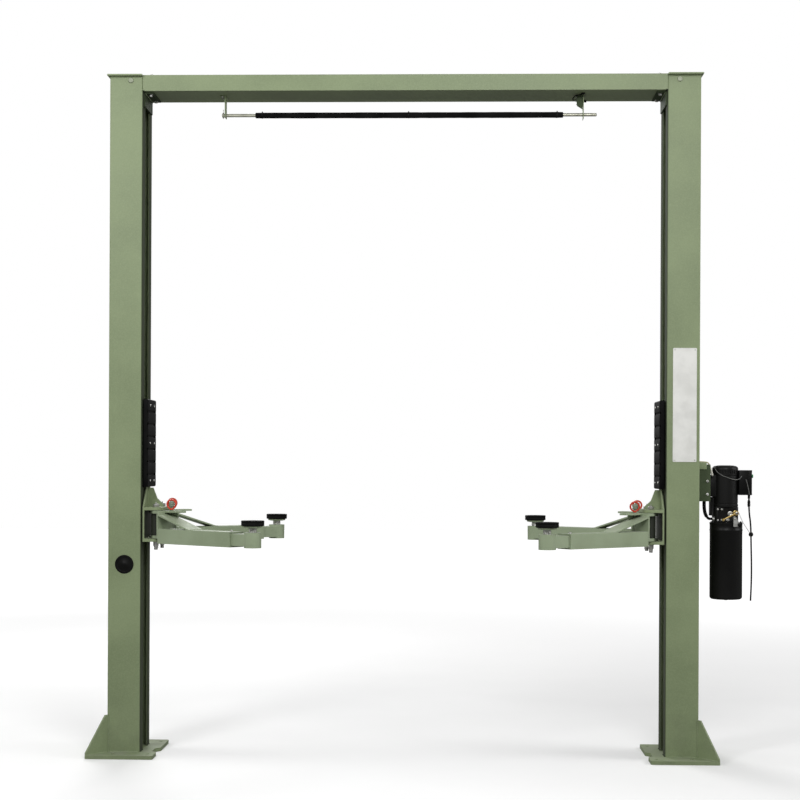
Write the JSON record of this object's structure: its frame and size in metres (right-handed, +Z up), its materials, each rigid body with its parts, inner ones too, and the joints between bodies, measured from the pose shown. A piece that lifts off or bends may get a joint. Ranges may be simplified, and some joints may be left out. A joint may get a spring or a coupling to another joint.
{
  "type": "two-post car lift with overhead beam",
  "caption": "Two-post clear-floor car lift: folded steel columns, overhead beam with padded limit bar, sliding carriages with swing arms, and a hydraulic power unit.",
  "frame": {"origin": "on the floor, at the centre of the anchor bolt pattern, midway between the columns", "axes": "+X across the lift towards the column with the power unit, +Y along the vehicle away from the viewer, +Z up"},
  "size_m": [3.623, 1.2666, 3.719],
  "materials": {
    "frame_paint": "satin sage green paint",
    "arm_paint": "satin sage green paint",
    "motor_paint": "semi-gloss black paint",
    "black_plastic": "matte moulded",
    "switch_plastic": "matte moulded",
    "zinc": "zinc plated",
    "chrome_rod": "hard chrome",
    "black_foam": "matte foam",
    "guard_rubber": "moulded ribs",
    "hose_rubber": "smooth",
    "cable_rubber": "smooth",
    "white_nylon": "machined nylon",
    "lock_paint": "gloss red ring"
  },
  "bodies": {
    "frame": {"left_base_plate": "frame_paint", "right_base_plate": "frame_paint", "base_gussets": "frame_paint", "left_column": "frame_paint", "right_column": "frame_paint", "column_caps": "frame_paint", "overhead_beam": "frame_paint", "beam_joint_plates": "frame_paint", "beam_seats": "frame_paint", "power_unit_bracket": "frame_paint", "access_plug": "black_plastic", "head_bolts": "zinc", "cylinder_rods": "chrome_rod", "bar_hangers": "frame_paint", "limit_switch": "switch_plastic", "motor": "motor_paint", "switch_box": "switch_plastic", "valve_block": "motor_paint", "valve_side_plate": "zinc", "oil_tank": "motor_paint", "pressure_hose": "hose_rubber", "hose_fittings": "zinc", "power_cable": "cable_rubber", "cable_gland": "black_plastic", "cable_bulge_and_ball": "black_plastic"},
    "limit_bar": {"limit_bar": "zinc", "limit_bar_sleeve": "black_foam"},
    "release_lever": {"release_lever": "zinc"},
    "left_carriage": {"left_carriage": "frame_paint", "left_door_guard": "guard_rubber", "left_slide_blocks": "white_nylon", "left_arm_pins": "zinc", "left_cylinder_barrel": "frame_paint"},
    "left_front_arm": {"left_front_arm": "arm_paint"},
    "left_front_arm_lock": {"left_front_arm_lock": "lock_paint"},
    "left_front_arm_extension": {"left_front_arm_extension": "arm_paint", "left_front_pad": "guard_rubber"},
    "left_rear_arm": {"left_rear_arm": "arm_paint"},
    "left_rear_arm_lock": {"left_rear_arm_lock": "lock_paint"},
    "left_rear_arm_extension": {"left_rear_arm_extension": "arm_paint", "left_rear_pad": "guard_rubber"},
    "right_carriage": {"right_carriage": "frame_paint", "right_door_guard": "guard_rubber", "right_slide_blocks": "white_nylon", "right_arm_pins": "zinc", "right_cylinder_barrel": "frame_paint"},
    "right_front_arm": {"right_front_arm": "arm_paint"},
    "right_front_arm_lock": {"right_front_arm_lock": "lock_paint"},
    "right_front_arm_extension": {"right_front_arm_extension": "arm_paint", "right_front_pad": "guard_rubber"},
    "right_rear_arm": {"right_rear_arm": "arm_paint"},
    "right_rear_arm_lock": {"right_rear_arm_lock": "lock_paint"},
    "right_rear_arm_extension": {"right_rear_arm_extension": "arm_paint", "right_rear_pad": "guard_rubber"}
  },
  "joints": [
    {"name": "left_carriage_lift", "type": "slide", "parent": "frame", "child": "left_carriage", "axis": [0, 0, 1], "range_m": [-1.05, 0.55]},
    {"name": "right_carriage_lift", "type": "slide", "parent": "frame", "child": "right_carriage", "axis": [0, 0, 1], "range_m": [-1.05, 0.55]},
    {"name": "left_front_arm_swing", "type": "hinge", "parent": "left_carriage", "child": "left_front_arm", "pos_m": [-1.35, -0.095, 1.25], "axis": [0, 0, -1], "range_deg": [-39, 45]},
    {"name": "left_front_arm_extend", "type": "slide", "parent": "left_front_arm", "child": "left_front_arm_extension", "axis": [0.7771, -0.6293, 0], "range_m": [0, 0.35]},
    {"name": "left_front_lock_pull", "type": "slide", "parent": "left_front_arm", "child": "left_front_arm_lock", "axis": [0, 0, 1], "range_m": [0, 0.012], "stiffness_N_per_m": 300, "springref_m": -0.02},
    {"name": "left_rear_arm_swing", "type": "hinge", "parent": "left_carriage", "child": "left_rear_arm", "pos_m": [-1.35, 0.095, 1.25], "axis": [0, 0, 1], "range_deg": [-39, 45]},
    {"name": "left_rear_arm_extend", "type": "slide", "parent": "left_rear_arm", "child": "left_rear_arm_extension", "axis": [0.7771, 0.6293, 0], "range_m": [0, 0.35]},
    {"name": "left_rear_lock_pull", "type": "slide", "parent": "left_rear_arm", "child": "left_rear_arm_lock", "axis": [0, 0, 1], "range_m": [0, 0.012], "stiffness_N_per_m": 300, "springref_m": -0.02},
    {"name": "right_front_arm_swing", "type": "hinge", "parent": "right_carriage", "child": "right_front_arm", "pos_m": [1.35, -0.095, 1.25], "axis": [0, 0, 1], "range_deg": [-39, 45]},
    {"name": "right_front_arm_extend", "type": "slide", "parent": "right_front_arm", "child": "right_front_arm_extension", "axis": [-0.7771, -0.6293, 0], "range_m": [0, 0.35]},
    {"name": "right_front_lock_pull", "type": "slide", "parent": "right_front_arm", "child": "right_front_arm_lock", "axis": [0, 0, 1], "range_m": [0, 0.012], "stiffness_N_per_m": 300, "springref_m": -0.02},
    {"name": "right_rear_arm_swing", "type": "hinge", "parent": "right_carriage", "child": "right_rear_arm", "pos_m": [1.35, 0.095, 1.25], "axis": [0, 0, -1], "range_deg": [-39, 45]},
    {"name": "right_rear_arm_extend", "type": "slide", "parent": "right_rear_arm", "child": "right_rear_arm_extension", "axis": [-0.7771, 0.6293, 0], "range_m": [0, 0.35]},
    {"name": "right_rear_lock_pull", "type": "slide", "parent": "right_rear_arm", "child": "right_rear_arm_lock", "axis": [0, 0, 1], "range_m": [0, 0.012], "stiffness_N_per_m": 300, "springref_m": -0.02},
    {"name": "limit_bar_tilt", "type": "hinge", "parent": "frame", "child": "limit_bar", "pos_m": [-1.003, 0, 3.519], "axis": [0, -1, 0], "range_deg": [0, 0.9]},
    {"name": "release_lever_turn", "type": "hinge", "parent": "frame", "child": "release_lever", "pos_m": [1.811, -0.1035, 1.338], "axis": [0, -1, 0], "range_deg": [-14, 14], "stiffness_Nm_per_rad": 2}
  ],
  "couplings": [
    {"joint": "right_carriage_lift", "follows": "left_carriage_lift", "ratio": 1}
  ]
}
